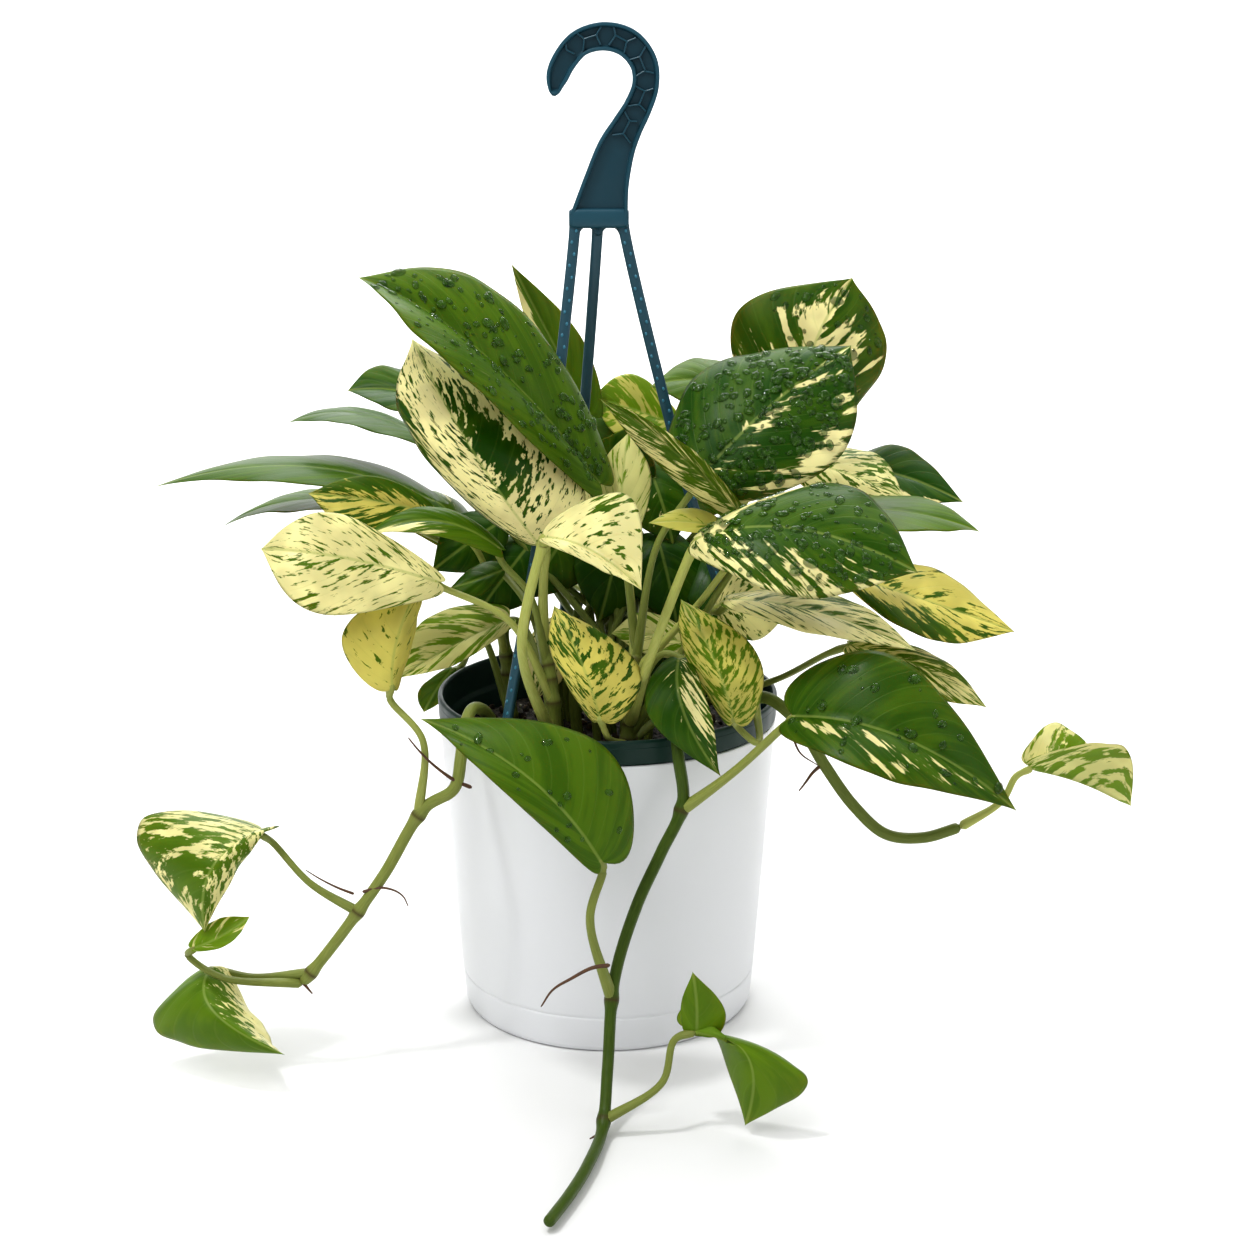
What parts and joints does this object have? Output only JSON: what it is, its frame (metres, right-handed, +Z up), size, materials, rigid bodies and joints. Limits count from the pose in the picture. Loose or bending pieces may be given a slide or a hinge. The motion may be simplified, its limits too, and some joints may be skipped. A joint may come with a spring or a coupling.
{
  "type": "potted pothos plant",
  "caption": "Potted pothos with variegated heart-shaped leaves and trailing vines, in a nursery pot with a three-strap hanger, set in a white cover pot.",
  "frame": {"origin": "middle of the cover pot's flat underside, where the pot stands", "axes": "+Z up along the pot's axis; the front, with the front vine, faces -Y"},
  "size_m": [0.4609, 0.3772, 0.4767],
  "materials": {
    "white_plastic": "satin white",
    "dark_green_plastic": "satin moulded plastic",
    "teal_plastic": "satin moulded plastic",
    "potting_soil": "damp bark and peat, matt",
    "stem_green": "smooth living stem",
    "leaf_green": "waxy leaf, green",
    "leaf_cream": "waxy leaf, cream variegation",
    "leaf_yellow": "waxy leaf, yellow variegation"
  },
  "bodies": {
    "root": {"cover_pot": "white_plastic", "grow_pot": "dark_green_plastic", "soil": "potting_soil", "hanger": "teal_plastic", "crown_front_left": "stem_green", "crown_left": "stem_green", "crown_front_right": "stem_green", "crown_right": "stem_green", "crown_back": "stem_green", "vine_front": "stem_green", "vine_left": "stem_green", "vine_right": "stem_green", "leaf_01": "leaf_green", "leaf_02": "leaf_cream", "leaf_03": "leaf_cream", "leaf_04": "leaf_green", "leaf_05": "leaf_green", "leaf_06": "leaf_green", "leaf_07": "leaf_green", "leaf_08": "leaf_yellow", "leaf_09": "leaf_green", "leaf_10": "leaf_cream", "leaf_11": "leaf_yellow", "leaf_12": "leaf_green", "leaf_13": "leaf_green", "leaf_14": "leaf_green", "leaf_15": "leaf_green", "leaf_16": "leaf_yellow", "leaf_17": "leaf_green", "leaf_18": "leaf_green", "leaf_19": "leaf_green", "leaf_20": "leaf_green", "leaf_21": "leaf_cream", "leaf_22": "leaf_green", "leaf_23": "leaf_green", "leaf_24": "leaf_green", "leaf_25": "leaf_green", "leaf_26": "leaf_yellow", "leaf_27": "leaf_green", "leaf_28": "leaf_green", "leaf_29": "leaf_yellow", "leaf_30": "leaf_yellow", "leaf_31": "leaf_green", "leaf_32": "leaf_green", "leaf_33": "leaf_green", "leaf_34": "leaf_cream", "leaf_35": "leaf_green", "leaf_36": "leaf_green", "leaf_37": "leaf_green", "leaf_38": "leaf_cream", "leaf_39": "leaf_green", "leaf_40": "leaf_yellow", "leaf_41": "leaf_cream", "leaf_42": "leaf_green", "leaf_43": "leaf_green", "leaf_44": "leaf_green", "leaf_45": "leaf_green", "leaf_46": "leaf_green", "leaf_47": "leaf_green", "leaf_48": "leaf_green"}
  },
  "joints": []
}
